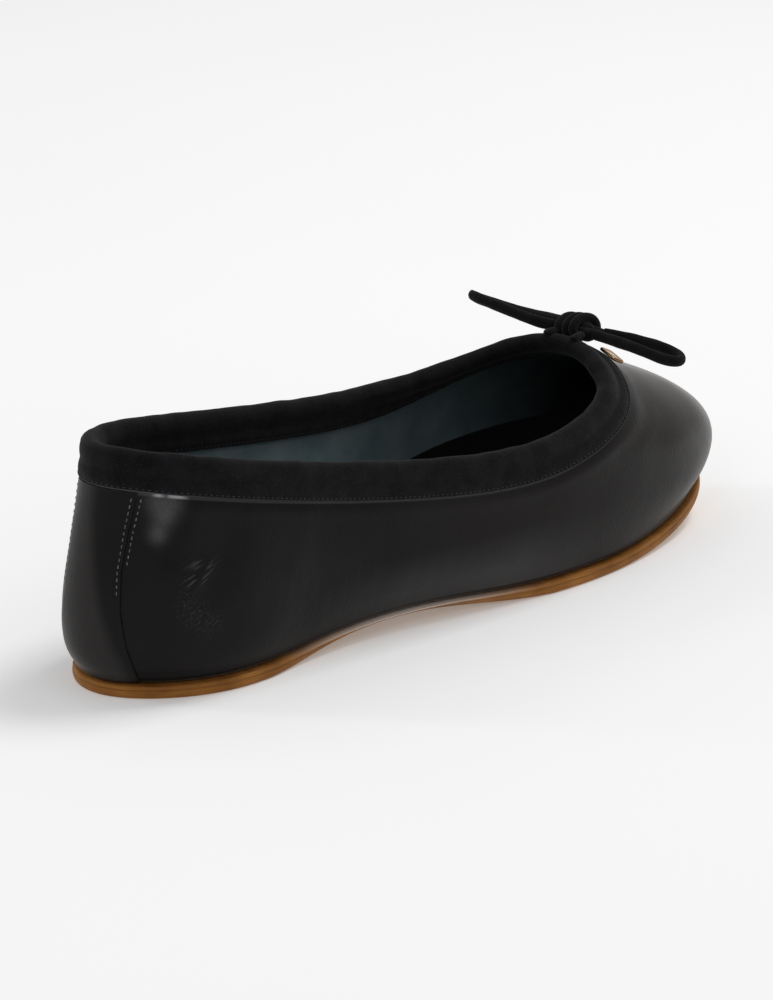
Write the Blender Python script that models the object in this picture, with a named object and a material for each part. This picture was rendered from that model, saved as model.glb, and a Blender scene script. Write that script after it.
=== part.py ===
"""A woman's ballet flat, the right shoe, with a bound collar and a cord bow.

Metres. +X points to the toe, +Y to the inner side of the foot and +Z up. The origin is on the floor, under
the middle of the heel. The wall of the upper is a ring of lines round the foot: each line rises from the
feather edge, where upper meets sole, to the collar, and swells as the last does.
"""

import math
from collections import namedtuple

import bmesh
import bpy
import numpy as np

# Sizes that the last gives
SOLE_LENGTH = 0.248
BALL_WIDTH = 0.077
COLLAR_HEIGHT = 0.0653  # floor to the upper's top edge, at the back of the heel
HEEL_CENTRE = 0.031  # back of the sole to the middle of the heel
WAIST_ARCH = 0.0034  # how far the waist of the sole stands off the floor
TOE_SPRING = 0.0100
ARCH_SPAN = (0.17, 0.60)  # where the waist leaves the floor and meets it again, as shares of the length
SPRING_START = 0.70  # where the toe leaves the floor, as a share of the length

# Sizes of the pieces
SOLE_THICKNESS = 0.0036
WAIST_THINNING = 0.0017  # how much thinner the sole is in the middle of the waist
SOLE_LEDGE = 0.0009  # how far the sole stands out past the feather edge
WAIST_BEVEL = 0.0036  # how far the waist of the sole is pared away below
SOLE_CORNER = 0.0005  # the rounding of the sole's lower edge
WALL = 0.0018
FEATHER_RADIUS = 0.0028
LASTING_MARGIN = 0.0080  # how far the upper turns in under the foot
INSOLE_THICKNESS = 0.0024
BINDING_WIDTH = 0.0083
BINDING_THICKNESS = 0.0012
STRIP_THICKNESS = 0.0009
CLEARANCE = 0.0003  # between pieces that touch
MARGIN_GAP = 0.0009  # between the turned-in margin's edge and the insole's step
CORD = 0.0027  # the bow's cord, across
KNOT_ALONG = 0.0120
KNOT_ACROSS = 0.0140
KNOT_HEIGHT = 0.0078
KNOT_RIDGE = 0.08  # how far the cord's turns stand up on a knot, as a share of its size
LOOP_OUT_REACH = 0.0302  # from the knot to the far end of a loop
LOOP_IN_REACH = 0.0340
LOOP_OUT_SPREAD = 0.0052  # half the width of a loop
LOOP_IN_SPREAD = 0.0030
LOOP_DROOP = 0.0036
LOOP_LIFT = 0.0019
TAIL_DROP = 0.0385  # from the collar down to the lower tail's end
TAIL_KNOT = 0.0054
CHARM_ALONG = 0.0050
CHARM_ACROSS = 0.0078
CHARM_THICKNESS = 0.0009
CHARM_CORNER = 0.0014

# How finely the surfaces are divided
STATIONS_PER_ROW = 5
WALL_STEPS = 8  # between the feather edge and the binding
WALL_CROWDING = 1.3  # how much closer together those steps are near the feather edge
CURVE_SAMPLES = 96
SMOOTH_ANGLE = math.radians(38)
BINDING_STEPS = 2
SOLE_ACROSS = 5
CROWN_STEPS = 4

Row = namedtuple(
    "Row",
    "place along across top_along top_across top_rise low_out low_up high_out high_down",
)

# One line of the wall for each row, from the back of the heel round the outer side to the toe and home.
# along and top_along are shares of SOLE_LENGTH, across, top_across, low_out and high_out of BALL_WIDTH,
# top_rise, low_up and high_down of COLLAR_HEIGHT. The last four say how the line leaves the feather edge
# and how it comes to the collar.
RING = [
    Row("heel_back", 0.000, 0.000, 0.0150, 0.000, 1.004, 0.108, 0.170, 0.040, 0.42),
    Row("heel_corner_out", 0.036, -0.216, 0.037, -0.172, 0.995, 0.102, 0.170, 0.040, 0.40),
    Row("heel_out", 0.130, -0.342, 0.118, -0.297, 0.930, 0.072, 0.180, 0.034, 0.34),
    Row("waist_rear_out", 0.270, -0.322, 0.259, -0.340, 0.809, 0.052, 0.200, 0.020, 0.28),
    Row("waist_out", 0.430, -0.368, 0.434, -0.399, 0.697, 0.052, 0.180, 0.020, 0.20),
    Row("ball_out", 0.600, -0.458, 0.587, -0.436, 0.668, 0.045, 0.200, 0.040, 0.20),
    Row("toe_out", 0.770, -0.428, 0.706, -0.376, 0.747, 0.060, 0.220, 0.120, 0.20),
    Row("tip_out", 0.930, -0.260, 0.760, -0.219, 0.832, 0.180, 0.255, 0.205, 0.18),
    Row("tip", 1.000, 0.020, 0.781, -0.012, 0.886, 0.195, 0.285, 0.285, 0.18),
    Row("tip_in", 0.934, 0.291, 0.762, 0.185, 0.862, 0.140, 0.265, 0.270, 0.17),
    Row("toe_in", 0.770, 0.472, 0.705, 0.318, 0.784, 0.075, 0.220, 0.205, 0.15),
    Row("ball_in", 0.600, 0.432, 0.587, 0.378, 0.740, 0.044, 0.230, 0.085, 0.20),
    Row("waist_in", 0.430, 0.300, 0.434, 0.346, 0.786, 0.042, 0.200, 0.040, 0.26),
    Row("waist_rear_in", 0.270, 0.285, 0.259, 0.308, 0.880, 0.050, 0.200, 0.025, 0.30),
    Row("heel_in", 0.130, 0.335, 0.120, 0.272, 0.956, 0.072, 0.180, 0.036, 0.34),
    Row("heel_corner_in", 0.036, 0.218, 0.041, 0.152, 0.995, 0.106, 0.170, 0.040, 0.40),
]
STATIONS = len(RING) * STATIONS_PER_ROW
TIP_ROW = 8

# Half of the back strip's width, in rows of the ring, from the sole up to the binding
STRIP_REACH = [0.72, 0.60, 0.54, 0.56, 0.66, 0.80]
STRIP_COLUMNS = 10

# Where the knot and the charm lie: rows round the ring, and shares of BINDING_WIDTH down from the collar
KNOT_ROW = 8.14
KNOT_DOWN = 0.58
CHARM_ROW = 7.55
CHARM_DOWN = 1.04

# A loop of the bow, from the knot out and back: forward and back in shares of its spread, away from the
# knot in shares of its reach, and up in shares of LOOP_DROOP or LOOP_LIFT.
LoopRow = namedtuple("LoopRow", "forward away up")
LOOP_OUT = [
    LoopRow(-0.34, 0.00, -0.14),
    LoopRow(-0.50, 0.18, -0.16),
    LoopRow(-0.68, 0.37, -0.17),
    LoopRow(-0.80, 0.57, -0.24),
    LoopRow(-0.82, 0.75, -0.42),
    LoopRow(-0.66, 0.90, -0.68),
    LoopRow(-0.25, 0.99, -0.88),
    LoopRow(0.30, 1.00, -0.96),
    LoopRow(0.74, 0.92, -0.86),
    LoopRow(0.96, 0.78, -0.70),
    LoopRow(1.00, 0.60, -0.55),
    LoopRow(0.91, 0.41, -0.44),
    LoopRow(0.75, 0.22, -0.38),
    LoopRow(0.48, 0.00, -0.32),
]
LOOP_IN = [
    LoopRow(-0.56, 0.00, -0.30),
    LoopRow(-0.86, 0.16, -0.22),
    LoopRow(-1.02, 0.34, 0.16),
    LoopRow(-1.04, 0.51, 0.56),
    LoopRow(-0.94, 0.69, 0.90),
    LoopRow(-0.74, 0.85, 1.12),
    LoopRow(-0.32, 0.98, 1.20),
    LoopRow(0.24, 1.00, 0.84),
    LoopRow(0.62, 0.91, 0.44),
    LoopRow(0.85, 0.77, 0.10),
    LoopRow(0.91, 0.60, -0.12),
    LoopRow(0.88, 0.40, -0.16),
    LoopRow(0.79, 0.19, -0.06),
    LoopRow(0.62, 0.00, 0.06),
]

# A tail of the bow: rows round the ring, shares of TAIL_DROP down from the collar, and how far it still
# hangs above the wall, as a share of the knot's own height over it.
TailRow = namedtuple("TailRow", "row down rise")
TAIL_OUT = [
    TailRow(8.24, 0.28, 0.44),
    TailRow(8.55, 0.42, 0.26),
    TailRow(8.85, 0.55, 0.07),
    TailRow(9.10, 0.69, 0.03),
    TailRow(9.30, 0.84, 0.05),
    TailRow(9.45, 1.00, 0.19),
]
TAIL_IN = [
    TailRow(8.44, 0.26, 0.30),
    TailRow(8.85, 0.32, 0.20),
    TailRow(9.25, 0.40, 0.08),
    TailRow(9.60, 0.49, 0.03),
    TailRow(9.85, 0.62, 0.05),
    TailRow(10.00, 0.77, 0.19),
]

# Colours and finishes
Look = namedtuple("Look", "colour roughness metallic")
BLACK_CALF = Look((0.012, 0.012, 0.013), 0.38, 0.0)
BLACK_SUEDE = Look((0.008, 0.008, 0.009), 0.90, 0.0)
TAN_SOLE = Look((0.42, 0.20, 0.07), 0.55, 0.0)
BLACK_SOCK = Look((0.010, 0.010, 0.012), 0.70, 0.0)
GILT = Look((0.83, 0.60, 0.36), 0.25, 1.0)


def clear_scene():
    for old in list(bpy.data.objects):
        bpy.data.objects.remove(old)


def material(name, look):
    made = bpy.data.materials.new(name)
    made.use_nodes = True
    shader = made.node_tree.nodes["Principled BSDF"]
    shader.inputs["Base Color"].default_value = (*look.colour, 1.0)
    shader.inputs["Roughness"].default_value = look.roughness
    shader.inputs["Metallic"].default_value = look.metallic
    return made


def round_spline(values, steps):
    """A smooth closed curve through values, read steps times between each two of them."""
    knots = np.asarray(values, float)
    count = len(knots)
    system = 4 * np.eye(count) + np.roll(np.eye(count), 1, 0) + np.roll(np.eye(count), -1, 0)
    slopes = np.linalg.solve(system, 3 * (np.roll(knots, -1, 0) - np.roll(knots, 1, 0)))
    share = np.tile(np.arange(steps) / steps, count)[:, None]
    first = np.repeat(np.arange(count), steps)
    second = (first + 1) % count
    return (
        knots[first] * (1 + 2 * share) * (1 - share) ** 2
        + slopes[first] * share * (1 - share) ** 2
        + knots[second] * share**2 * (3 - 2 * share)
        + slopes[second] * share**2 * (share - 1)
    )


def lift(x):
    """How far the sole's underside stands off the floor: flat at heel and ball, up at waist and toe."""
    along = (x + HEEL_CENTRE) / SOLE_LENGTH
    waist = np.clip((along - ARCH_SPAN[0]) / (ARCH_SPAN[1] - ARCH_SPAN[0]), 0, 1)
    toe = np.clip((along - SPRING_START) / (1 - SPRING_START), 0, None)
    return WAIST_ARCH * np.sin(math.pi * waist) ** 2 + TOE_SPRING * toe**2


def waist_share(x):
    """1 in the middle of the waist and 0 at heel and ball."""
    along = (x + HEEL_CENTRE) / SOLE_LENGTH
    return np.sin(math.pi * np.clip((along - ARCH_SPAN[0]) / (ARCH_SPAN[1] - ARCH_SPAN[0]), 0, 1))


def seat(x):
    """The sole's top face, which upper and insole stand on."""
    return lift(x) + SOLE_THICKNESS - WAIST_THINNING * waist_share(x) ** 2


def outward(plan):
    """The level direction that points out of a closed plan curve, at each of its points."""
    run = np.roll(plan, -1, 0) - np.roll(plan, 1, 0)
    out = np.stack([run[:, 1], -run[:, 0]], axis=1)
    return out / np.linalg.norm(out, axis=1)[:, None]


def ring_rows():
    """The ring's table as real sizes, read at every station, and keyed by column."""
    sizes = {
        "along": SOLE_LENGTH,
        "across": BALL_WIDTH,
        "top_along": SOLE_LENGTH,
        "top_across": BALL_WIDTH,
        "top_rise": COLLAR_HEIGHT,
        "low_out": BALL_WIDTH,
        "low_up": COLLAR_HEIGHT,
        "high_out": BALL_WIDTH,
        "high_down": COLLAR_HEIGHT,
    }
    table = [[getattr(row, column) * size for column, size in sizes.items()] for row in RING]
    return dict(zip(sizes, round_spline(table, STATIONS_PER_ROW).T))


def sole_outline():
    """The sole's upper outline in plan."""
    rows = ring_rows()
    return np.stack([rows["along"] - HEEL_CENTRE, rows["across"]], axis=1)


def inset(plan, distance):
    return plan - outward(plan) * np.reshape(distance, (-1, 1))


def wall_lines():
    """The wall's outer face: for each station, points from the margin's inner edge up to the collar.

    The last BINDING_STEPS stretches are as long as the binding is wide, so that binding and wall share them.
    """
    rows = ring_rows()
    feather = inset(sole_outline(), SOLE_LEDGE)
    foot_out = outward(feather)
    collar = np.stack([rows["top_along"] - HEEL_CENTRE, rows["top_across"]], axis=1)
    collar_out = outward(collar)
    lines = []
    for k in range(STATIONS):
        out = foot_out[k]

        def foot_point(beyond, up):
            x, y = feather[k] + out * beyond
            return np.array([x, y, seat(x) + CLEARANCE + up])

        margin = [foot_point(-LASTING_MARGIN, 0.0), foot_point(-FEATHER_RADIUS, 0.0)]
        turn = math.pi / 4
        corner = foot_point(FEATHER_RADIUS * (math.sin(turn) - 1), FEATHER_RADIUS * (1 - math.cos(turn)))
        start = foot_point(0.0, FEATHER_RADIUS)
        end = np.array([*collar[k], rows["top_rise"][k]])
        low = start + np.array([*(out * rows["low_out"][k]), rows["low_up"][k]])
        high = end + np.array([*(collar_out[k] * rows["high_out"][k]), -rows["high_down"][k]])
        rise = bezier(start, low, high, end)
        lines.append([*margin, corner, *rise])
    return np.array(lines)


def bezier(start, low, high, end):
    """Points up one line of the wall: WALL_STEPS stretches below the binding and BINDING_STEPS within it."""
    t = np.linspace(0, 1, CURVE_SAMPLES)[:, None]
    dense = (1 - t) ** 3 * start + 3 * (1 - t) ** 2 * t * low + 3 * (1 - t) * t**2 * high + t**3 * end
    run = run_along(dense)
    under_binding = run[-1] - BINDING_WIDTH
    marks = np.concatenate(
        [
            np.linspace(0, 1, WALL_STEPS + 1)[:-1] ** WALL_CROWDING * under_binding,
            np.linspace(under_binding, run[-1], BINDING_STEPS + 1),
        ]
    )
    return read_along(dense, run, marks)


def run_along(points):
    """The distance along a line of points, at each of them."""
    return np.concatenate([[0], np.cumsum(np.linalg.norm(np.diff(points, axis=0), axis=1))])


def read_along(values, run, marks):
    return np.stack([np.interp(marks, run, values[:, axis]) for axis in range(3)], axis=-1)


def face_normals(lines):
    """The direction out of the wall at each point of its outer face."""
    round_ring = np.roll(lines, -1, 0) - np.roll(lines, 1, 0)
    up_wall = np.gradient(lines, axis=1)
    normals = np.cross(round_ring, up_wall)
    return normals / np.linalg.norm(normals, axis=2)[:, :, None]


def grid_mesh(name, grid, look, closed_round=True):
    """A solid from loops of points: each loop is closed, and the loops follow each other."""
    shape = bmesh.new()
    verts = [[shape.verts.new(point) for point in loop] for loop in grid]
    stations, points = len(verts), len(verts[0])
    for i in range(stations if closed_round else stations - 1):
        here, there = verts[i], verts[(i + 1) % stations]
        for j in range(points):
            k = (j + 1) % points
            shape.faces.new((here[j], here[k], there[k], there[j]))
    if not closed_round:
        cap_loop(shape, verts[0])
        cap_loop(shape, verts[-1])
    return finish(name, shape, look)


def cap_loop(shape, loop):
    """Closes the end of a thin strip, whose loop runs up one face and down the other."""
    half = len(loop) // 2
    for j in range(half - 1):
        shape.faces.new((loop[j], loop[j + 1], loop[-2 - j], loop[-1 - j]))


def finish(name, shape, look):
    bmesh.ops.recalc_face_normals(shape, faces=shape.faces)
    mesh = bpy.data.meshes.new(name)
    shape.to_mesh(mesh)
    shape.free()
    mesh.shade_smooth()
    mesh.set_sharp_from_angle(angle=SMOOTH_ANGLE)
    mesh.materials.append(material(name, look))
    made = bpy.data.objects.new(name, mesh)
    bpy.context.scene.collection.objects.link(made)
    return made


def plate(name, rings, look):
    """A plate that follows the foot: rings of points from its top outline down to its bottom outline.

    Top and bottom are closed by cross rows that join the outer side to the inner side.
    """
    shape = bmesh.new()
    verts = [[shape.verts.new(point) for point in ring] for ring in rings]
    for upper, lower in zip(verts, verts[1:]):
        for i in range(STATIONS):
            j = (i + 1) % STATIONS
            shape.faces.new((upper[i], upper[j], lower[j], lower[i]))
    for ring, points in ((verts[0], rings[0]), (verts[-1], rings[-1])):
        across = [cross_row(shape, ring, points, i) for i in range(STATIONS // 2 + 1)]
        for near, far in zip(across, across[1:]):
            join_rows(shape, near, far)
    return finish(name, shape, look)


def cross_row(shape, ring, points, i):
    """The row of a plate from station i on the outer side to its partner on the inner side."""
    if i in (0, STATIONS // 2):
        return [ring[i]]
    partner = STATIONS - i
    row = [ring[i]]
    for share in np.linspace(0, 1, SOLE_ACROSS + 1)[1:-1]:
        point = points[i] * (1 - share) + points[partner] * share
        edge_height = (1 - share) * (points[i][2] - lift(points[i][0])) + share * (
            points[partner][2] - lift(points[partner][0])
        )
        row.append(shape.verts.new((point[0], point[1], lift(point[0]) + edge_height)))
    return row + [ring[partner]]


def join_rows(shape, near, far):
    if len(near) == 1 or len(far) == 1:
        tip, row = (near[0], far) if len(near) == 1 else (far[0], near)
        for a, b in zip(row, row[1:]):
            shape.faces.new((tip, a, b))
        return
    for k in range(len(near) - 1):
        shape.faces.new((near[k], near[k + 1], far[k + 1], far[k]))


def seat_ring(plan, height):
    """A ring of points at a height above the sole's top face."""
    return np.column_stack([plan, seat(plan[:, 0]) + height])


def edge_ring(plan, share, height):
    """A ring of points at a share of the sole's thickness, and a height, above the sole's underside."""
    low, high = lift(plan[:, 0]), seat(plan[:, 0])
    return np.column_stack([plan, low + (high - low) * share + height])


def outsole(look):
    top = sole_outline()
    pared = WAIST_BEVEL * waist_share(top[:, 0])
    return plate(
        "outsole",
        [
            edge_ring(top, 1.0, 0.0),
            edge_ring(inset(top, pared / 2), 0.5, 0.0),
            edge_ring(inset(top, pared), 0.0, SOLE_CORNER),
            edge_ring(inset(top, pared + SOLE_CORNER), 0.0, 0.0),
        ],
        look,
    )


def insole(look):
    """A board that fills the space inside the turned-in margin and lies on the margin, up to the wall."""
    plan = inset(sole_outline(), SOLE_LEDGE)
    floor = WALL + 2 * CLEARANCE
    beside_wall = inset(plan, WALL + CLEARANCE)
    over_turn = inset(plan, FEATHER_RADIUS + CLEARANCE)
    inside_margin = inset(plan, LASTING_MARGIN + MARGIN_GAP)
    shoulder = floor + FEATHER_RADIUS - WALL - CLEARANCE
    rings = [
        seat_ring(beside_wall, floor + INSOLE_THICKNESS),
        seat_ring(beside_wall, shoulder),
        seat_ring(over_turn, floor),
        seat_ring(inside_margin, floor),
        seat_ring(inside_margin, CLEARANCE),
    ]
    return plate("insole", rings, look)


def upper(lines, normals, look):
    inner = lines - normals * WALL
    return grid_mesh("upper", np.concatenate([lines, inner[:, ::-1]], axis=1), look)


def collar_binding(lines, normals, look):
    """A folded strip over the top edge: outer leg, round crown and inner leg round the wall."""
    edge, way_out = lines[:, -BINDING_STEPS - 1 :], normals[:, -BINDING_STEPS - 1 :]
    up = edge[:, -1] - edge[:, -2]
    up = up / np.linalg.norm(up, axis=1)[:, None]
    out = way_out[:, -1]
    middle = edge[:, -1] - out * WALL / 2
    radius = WALL / 2 + CLEARANCE + BINDING_THICKNESS
    crown = [
        middle + radius * (out * math.cos(turn) + up * math.sin(turn))
        for turn in np.linspace(0, math.pi, CROWN_STEPS + 2)[1:-1]
    ]
    slot_out = edge[:, -1] + out * CLEARANCE + up * CLEARANCE
    slot_in = edge[:, -1] - out * (WALL + CLEARANCE) + up * CLEARANCE
    loops = np.concatenate(
        [
            edge + way_out * (CLEARANCE + BINDING_THICKNESS),
            np.stack(crown, axis=1),
            (edge - way_out * (WALL + CLEARANCE + BINDING_THICKNESS))[:, ::-1],
            (edge - way_out * (WALL + CLEARANCE))[:, :-1],
            slot_in[:, None],
            slot_out[:, None],
            (edge + way_out * CLEARANCE)[:, -2::-1],
        ],
        axis=1,
    )
    return grid_mesh("collar_binding", loops, look)


def between_stations(values, station):
    """The wall's points, or its directions, at a place between two stations."""
    first = math.floor(station)
    share = station - first
    return values[first % STATIONS] * (1 - share) + values[(first + 1) % STATIONS] * share


def back_strip(lines, normals, look):
    """The strip that covers the closing seam at the heel, laid on the wall from the sole to the binding."""
    lowest = 2  # the middle of the feather edge's rounding, where the strip is pared thin
    levels = range(lowest, lines.shape[1] - BINDING_STEPS)
    reach = np.interp(
        np.linspace(0, 1, len(levels)), np.linspace(0, 1, len(STRIP_REACH)), STRIP_REACH
    )
    loops = []
    for share in np.linspace(-1, 1, STRIP_COLUMNS + 1):
        over, under = [], []
        for level, half in zip(levels, reach):
            station = share * half * STATIONS_PER_ROW
            point = between_stations(lines, station)[level]
            out = between_stations(normals, station)[level]
            if level == levels[-1]:
                below = between_stations(lines, station)[level - 1]
                point = point + (below - point) / np.linalg.norm(below - point) * CLEARANCE
            thickness = STRIP_THICKNESS / 2 if level == lowest else STRIP_THICKNESS
            over.append(point + out * (CLEARANCE + thickness))
            under.append(point + out * CLEARANCE)
        loops.append(over + under[::-1])
    return grid_mesh("back_strip", loops, look, closed_round=False)


def over_wall(lines, normals, row, down, off):
    """A point off the wall, and the directions down and out there.

    row counts rows round the ring, down is the way down from the collar, and off the way out from the wall.
    """
    line = between_stations(lines, row * STATIONS_PER_ROW)[::-1]
    facing = between_stations(normals, row * STATIONS_PER_ROW)[::-1]
    run = run_along(line)
    foot = read_along(line, run, down)
    step = read_along(line, run, down + CLEARANCE) - foot
    out = read_along(facing, run, down)
    out = out / np.linalg.norm(out)
    return foot + out * off, step / np.linalg.norm(step), out


def smooth_route(points):
    """Points two diameters apart on a smooth curve through a cord's own points."""
    knots = np.array(points)
    padded = np.vstack([2 * knots[0] - knots[1], knots, 2 * knots[-1] - knots[-2]])
    dense = []
    for before, here, there, after in zip(padded, padded[1:], padded[2:], padded[3:]):
        bend = 2 * before - 5 * here + 4 * there - after
        twist = 3 * here - before - 3 * there + after
        for t in np.linspace(0, 1, CURVE_SAMPLES // 8, endpoint=False):
            dense.append(here + (there - before) * t / 2 + bend * t**2 / 2 + twist * t**3 / 2)
    dense = np.array([*dense, knots[-1]])
    run = run_along(dense)
    return read_along(dense, run, np.linspace(0, run[-1], round(run[-1] / (2 * CORD)) + 1))


def cord(name, route, look):
    curve = bpy.data.curves.new(name, "CURVE")
    curve.dimensions = "3D"
    curve.bevel_depth = CORD / 2
    curve.bevel_resolution = 2
    curve.use_fill_caps = True
    points = smooth_route(route)
    line = curve.splines.new("POLY")
    line.points.add(len(points) - 1)
    for target, point in zip(line.points, points):
        target.co = (*point, 1.0)
    curve.materials.append(material(name, look))
    made = bpy.data.objects.new(name, curve)
    bpy.context.scene.collection.objects.link(made)
    return made


def lump(name, size, place, look, wraps, fineness):
    """A knot: a round body with the turns of its cord standing up on it."""
    shape = bmesh.new()
    bmesh.ops.create_uvsphere(shape, u_segments=3 * fineness, v_segments=2 * fineness, radius=0.5)
    for vert in shape.verts:
        turn = math.atan2(vert.co.z, vert.co.x)
        ridge = 1 - KNOT_RIDGE * (1 + math.cos(wraps * turn)) / 2
        vert.co = place + np.array([vert.co[axis] * size[axis] * ridge for axis in range(3)])
    return finish(name, shape, look)


def loop(name, rows, knot, side, spread, reach, rise, look):
    """A loop of the bow that leaves the knot's end and comes back to it."""
    start = KNOT_ACROSS / 2
    route = [
        knot + np.array([row.forward * spread, side * (start + row.away * reach), row.up * rise])
        for row in rows
    ]
    cord(name, route, look)


def tail(name, rows, lines, normals, knot_off, look):
    """A tail of the bow that lies over the vamp, and the knot at its end."""
    lying = CORD / 2 + CLEARANCE
    route = [
        over_wall(lines, normals, row.row, row.down * TAIL_DROP, lying + row.rise * knot_off)[0]
        for row in rows
    ]
    cord(name, route, look)
    way = (route[-1] - route[-2]) / np.linalg.norm(route[-1] - route[-2])
    place = route[-1] + way * (TAIL_KNOT / 2 + CLEARANCE)
    lump(name + "_knot", (TAIL_KNOT, TAIL_KNOT, TAIL_KNOT), place, look, wraps=2, fineness=4)


def bow(lines, normals, look):
    on_binding = BINDING_THICKNESS + 2 * CLEARANCE
    knot_off = on_binding + KNOT_HEIGHT / 2
    knot, _, _ = over_wall(lines, normals, KNOT_ROW, KNOT_DOWN * BINDING_WIDTH, knot_off)
    lump("bow_knot", (KNOT_ALONG, KNOT_ACROSS, KNOT_HEIGHT), knot, look, wraps=3, fineness=5)
    loop("bow_loop_out", LOOP_OUT, knot, -1, LOOP_OUT_SPREAD, LOOP_OUT_REACH, LOOP_DROOP, look)
    loop("bow_loop_in", LOOP_IN, knot, 1, LOOP_IN_SPREAD, LOOP_IN_REACH, LOOP_LIFT, look)
    tail("bow_tail_out", TAIL_OUT, lines, normals, knot_off, look)
    tail("bow_tail_in", TAIL_IN, lines, normals, knot_off, look)


def charm(lines, normals, look):
    """A plain gilt tag that lies on the binding beside the bow's knot."""
    off = BINDING_THICKNESS + 2 * CLEARANCE + CHARM_THICKNESS / 2
    middle, down, out = over_wall(lines, normals, CHARM_ROW, CHARM_DOWN * BINDING_WIDTH, off)
    side = np.cross(out, down)
    size = (CHARM_ALONG, CHARM_ACROSS, CHARM_THICKNESS)
    shape = bmesh.new()
    bmesh.ops.create_cube(shape, size=1.0)
    for vert in shape.verts:
        vert.co = [vert.co[axis] * size[axis] for axis in range(3)]
    upright = [edge for edge in shape.edges if edge.calc_length() < CHARM_THICKNESS * 1.5]
    bmesh.ops.bevel(shape, geom=upright, offset=CHARM_CORNER, segments=4, affect="EDGES", profile=0.5)
    for vert in shape.verts:
        vert.co = middle + down * vert.co[0] + side * vert.co[1] + out * vert.co[2]
    return finish("charm", shape, look)


def main():
    clear_scene()
    lines = wall_lines()
    normals = face_normals(lines)
    outsole(TAN_SOLE)
    insole(BLACK_SOCK)
    upper(lines, normals, BLACK_CALF)
    collar_binding(lines, normals, BLACK_SUEDE)
    back_strip(lines, normals, BLACK_CALF)
    bow(lines, normals, BLACK_SUEDE)
    charm(lines, normals, GILT)


main()
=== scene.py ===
import math
from collections import namedtuple

import bmesh
import bpy
import numpy as np
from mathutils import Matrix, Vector, noise


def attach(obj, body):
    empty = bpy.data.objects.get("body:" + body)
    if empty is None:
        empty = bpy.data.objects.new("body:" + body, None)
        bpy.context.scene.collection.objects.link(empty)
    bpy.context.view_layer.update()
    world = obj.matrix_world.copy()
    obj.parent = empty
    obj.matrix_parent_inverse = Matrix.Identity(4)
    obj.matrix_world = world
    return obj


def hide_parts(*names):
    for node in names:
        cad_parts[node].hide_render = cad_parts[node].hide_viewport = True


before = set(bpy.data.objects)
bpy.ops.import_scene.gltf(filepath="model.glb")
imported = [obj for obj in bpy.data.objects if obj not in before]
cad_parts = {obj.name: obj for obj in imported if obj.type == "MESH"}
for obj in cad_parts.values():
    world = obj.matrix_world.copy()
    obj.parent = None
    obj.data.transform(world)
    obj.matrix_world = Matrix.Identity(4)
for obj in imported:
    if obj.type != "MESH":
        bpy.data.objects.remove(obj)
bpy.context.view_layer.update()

# The view: the shoe from behind and from its outer side, a little from above. It stands on a wide pale
# floor, in even light from all round, with a broad soft lamp overhead, a tall narrow one on its inner side
# behind the heel and a small one on its outer side.
PICTURE_SENSOR = 36.0
LENS = 172.0
CAMERA_PLACE = (-0.8647, -0.8603, 0.4263)
CAMERA_TURN = (72.7117, -0.3177, -47.7152)
FLOOR_RADIUS = 9.0
FLOOR_EDGES = 96
FLOOR_GLOW = 0.15
SURROUND = (0.49, 0.49, 0.49, 1.0)

Lamp = namedtuple("Lamp", "name place aim width height power")
LAMPS = [
    Lamp("overhead_lamp", (1.00, -0.20, 1.80), (0.09, 0.0, 0.0), 0.7, 0.7, 14.5),
    Lamp("heel_lamp", (-0.62, 0.95, 0.70), (-0.03, 0.0, 0.04), 0.12, 0.6, 1.6),
    Lamp("corner_lamp", (-0.95, -0.62, 0.75), (0.0, 0.0, 0.05), 0.22, 0.22, 1.2),
]


class Field:
    """A value that changes over a surface: the output of a node, with arithmetic."""

    def __init__(self, tree, socket=None):
        self.tree = tree
        self.socket = socket

    def node(self, kind, settings, values, output=0):
        """Any node: its type, its settings, then the values or fields of its sockets."""
        made = self.tree.nodes.new(kind)
        for name, value in settings.items():
            setattr(made, name, value)
        for name, value in values.items():
            self.feed(made.inputs[name], value)
        return Field(self.tree, made.outputs[output])

    def feed(self, socket, value):
        if isinstance(value, Field):
            self.tree.links.new(value.socket, socket)
        else:
            socket.default_value = value

    def maths(self, operation, *terms):
        return self.node("ShaderNodeMath", {"operation": operation}, dict(enumerate(terms)))

    def __add__(self, other):
        return self.maths("ADD", self, other)

    def __sub__(self, other):
        return self.maths("SUBTRACT", self, other)

    def __rsub__(self, other):
        return self.maths("SUBTRACT", other, self)

    def __mul__(self, other):
        return self.maths("MULTIPLY", self, other)

    __radd__ = __add__
    __rmul__ = __mul__


def new_finish(name, constants):
    """A material with its fields and its shader. What is the same all over is set on the shader itself."""
    made = bpy.data.materials.new(name)
    made.use_nodes = True
    shader = made.node_tree.nodes["Principled BSDF"]
    for socket, value in constants.items():
        shader.inputs[socket].default_value = value
    return made, Field(made.node_tree), shader


def own_place(field, axis=None):
    """Where a point is on its piece, in metres, or only how far along one axis."""
    place = field.node("ShaderNodeTexCoord", {}, {}, "Object")
    return field.node("ShaderNodeSeparateXYZ", {}, {0: place}, axis) if axis else place


def mottle(field, size, detail=4.0, stretch=(1.0, 1.0, 1.0)):
    """Soft cloudy variation whose patches are size metres across, longer where stretch is above 1."""
    share = tuple(1 / (size * along) for along in stretch)
    scaled = field.node(
        "ShaderNodeVectorMath", {"operation": "MULTIPLY"}, {0: own_place(field), 1: share}
    )
    return field.node("ShaderNodeTexNoise", {}, {"Vector": scaled, "Scale": 1.0, "Detail": detail})


def blend(field, first, second):
    """The first colour where the field is 0 and the second where it is 1."""
    ends = [(*end, 1.0) if isinstance(end, tuple) else end for end in (first, second)]
    return field.node("ShaderNodeMix", {"data_type": "RGBA"}, {0: field, 6: ends[0], 7: ends[1]}, 2)


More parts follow.
